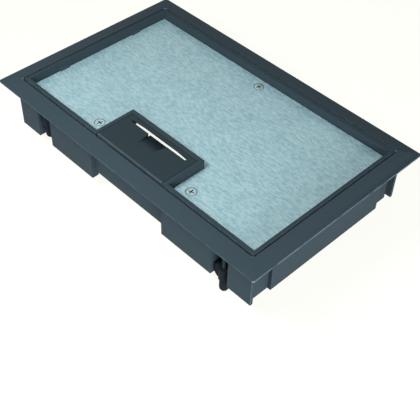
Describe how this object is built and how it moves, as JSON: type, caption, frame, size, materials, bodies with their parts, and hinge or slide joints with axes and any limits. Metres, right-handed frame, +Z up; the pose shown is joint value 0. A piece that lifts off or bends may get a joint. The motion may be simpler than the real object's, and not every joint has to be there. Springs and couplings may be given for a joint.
{
  "type": "floor box lid and mounting frame",
  "caption": "Flush floor box cover: sloping floor frame with claw clamps, hinged lid with a recess for floor covering over a steel plate, and a hinged cable flap with a finger slot.",
  "frame": {"origin": "centre of the floor cut-out, at floor level, which is the flange's underside", "axes": "+X along the long side, -Y towards the cable outlet and away from the lid's hinge, +Z up out of the floor"},
  "size_m": [0.264, 0.1676, 0.0555],
  "materials": {
    "frame_plastic": "fine matt grain, blue grey",
    "flap_plastic": "fine matt grain, blue grey",
    "claw_plastic": "matt",
    "plate_steel": "galvanised sheet, pale blue green",
    "screw_steel": "bright zinc",
    "pin_steel": "drawn wire",
    "bush_brass": "turned",
    "lip_rubber": "soft black grey",
    "seal_foam": "cellular foam"
  },
  "bodies": {
    "frame": {"mounting_frame": "frame_plastic", "lid_seal": "seal_foam", "clamp_washer_front_left": "screw_steel", "clamp_washer_front_right": "screw_steel", "clamp_washer_back_left": "screw_steel", "clamp_washer_back_right": "screw_steel"},
    "lid": {"lid_frame": "frame_plastic", "lid_plate": "plate_steel", "plate_screws": "screw_steel", "lid_hinge_pin_left": "pin_steel", "lid_hinge_pin_right": "pin_steel"},
    "flap": {"cable_flap": "flap_plastic", "flap_lip": "lip_rubber", "flap_hinge_pin_left": "pin_steel", "flap_hinge_pin_right": "pin_steel"},
    "screw_front_left": {"clamp_screw_front_left": "screw_steel", "clamp_clip_front_left": "screw_steel"},
    "bush_front_left": {"clamp_bush_front_left": "bush_brass"},
    "claw_front_left": {"clamp_claw_front_left": "claw_plastic"},
    "screw_front_right": {"clamp_screw_front_right": "screw_steel", "clamp_clip_front_right": "screw_steel"},
    "bush_front_right": {"clamp_bush_front_right": "bush_brass"},
    "claw_front_right": {"clamp_claw_front_right": "claw_plastic"},
    "screw_back_left": {"clamp_screw_back_left": "screw_steel", "clamp_clip_back_left": "screw_steel"},
    "bush_back_left": {"clamp_bush_back_left": "bush_brass"},
    "claw_back_left": {"clamp_claw_back_left": "claw_plastic"},
    "screw_back_right": {"clamp_screw_back_right": "screw_steel", "clamp_clip_back_right": "screw_steel"},
    "bush_back_right": {"clamp_bush_back_right": "bush_brass"},
    "claw_back_right": {"clamp_claw_back_right": "claw_plastic"}
  },
  "joints": [
    {"name": "lid_opens", "type": "hinge", "parent": "frame", "child": "lid", "pos_m": [0, 0.06265, 0.00055], "axis": [-1, 0, 0], "range_deg": [0, 110]},
    {"name": "flap_opens", "type": "hinge", "parent": "lid", "child": "flap", "pos_m": [0, -0.0395, 0.00175], "axis": [-1, 0, 0], "range_deg": [0, 90]},
    {"name": "screw_turns_front_left", "type": "hinge", "parent": "frame", "child": "screw_front_left", "pos_m": [-0.0944, -0.06875, -0.02], "axis": [0, 0, -1], "range_deg": [-7200, 0]},
    {"name": "claw_rises_front_left", "type": "slide", "parent": "frame", "child": "bush_front_left", "axis": [0, 0, 1], "range_m": [-0.014, 0]},
    {"name": "claw_swings_front_left", "type": "hinge", "parent": "bush_front_left", "child": "claw_front_left", "pos_m": [-0.0944, -0.06875, -0.02], "axis": [0, 0, -1], "range_deg": [0, 90]},
    {"name": "screw_turns_front_right", "type": "hinge", "parent": "frame", "child": "screw_front_right", "pos_m": [0.0944, -0.06875, -0.02], "axis": [0, 0, -1], "range_deg": [0, 7200]},
    {"name": "claw_rises_front_right", "type": "slide", "parent": "frame", "child": "bush_front_right", "axis": [0, 0, 1], "range_m": [0, 0.014]},
    {"name": "claw_swings_front_right", "type": "hinge", "parent": "bush_front_right", "child": "claw_front_right", "pos_m": [0.0944, -0.06875, -0.02], "axis": [0, 0, 1], "range_deg": [0, 90]},
    {"name": "screw_turns_back_left", "type": "hinge", "parent": "frame", "child": "screw_back_left", "pos_m": [-0.0944, 0.06875, -0.02], "axis": [0, 0, -1], "range_deg": [-7200, 0]},
    {"name": "claw_rises_back_left", "type": "slide", "parent": "frame", "child": "bush_back_left", "axis": [0, 0, 1], "range_m": [-0.014, 0]},
    {"name": "claw_swings_back_left", "type": "hinge", "parent": "bush_back_left", "child": "claw_back_left", "pos_m": [-0.0944, 0.06875, -0.02], "axis": [0, 0, 1], "range_deg": [0, 90]},
    {"name": "screw_turns_back_right", "type": "hinge", "parent": "frame", "child": "screw_back_right", "pos_m": [0.0944, 0.06875, -0.02], "axis": [0, 0, -1], "range_deg": [-7200, 0]},
    {"name": "claw_rises_back_right", "type": "slide", "parent": "frame", "child": "bush_back_right", "axis": [0, 0, 1], "range_m": [-0.014, 0]},
    {"name": "claw_swings_back_right", "type": "hinge", "parent": "bush_back_right", "child": "claw_back_right", "pos_m": [0.0944, 0.06875, -0.02], "axis": [0, 0, -1], "range_deg": [0, 90]}
  ],
  "couplings": [
    {"joint": "screw_turns_front_left", "follows": "claw_rises_front_left", "rad_per_m": 8976},
    {"joint": "screw_turns_front_right", "follows": "claw_rises_front_right", "rad_per_m": 8976},
    {"joint": "screw_turns_back_left", "follows": "claw_rises_back_left", "rad_per_m": 8976},
    {"joint": "screw_turns_back_right", "follows": "claw_rises_back_right", "rad_per_m": 8976}
  ]
}
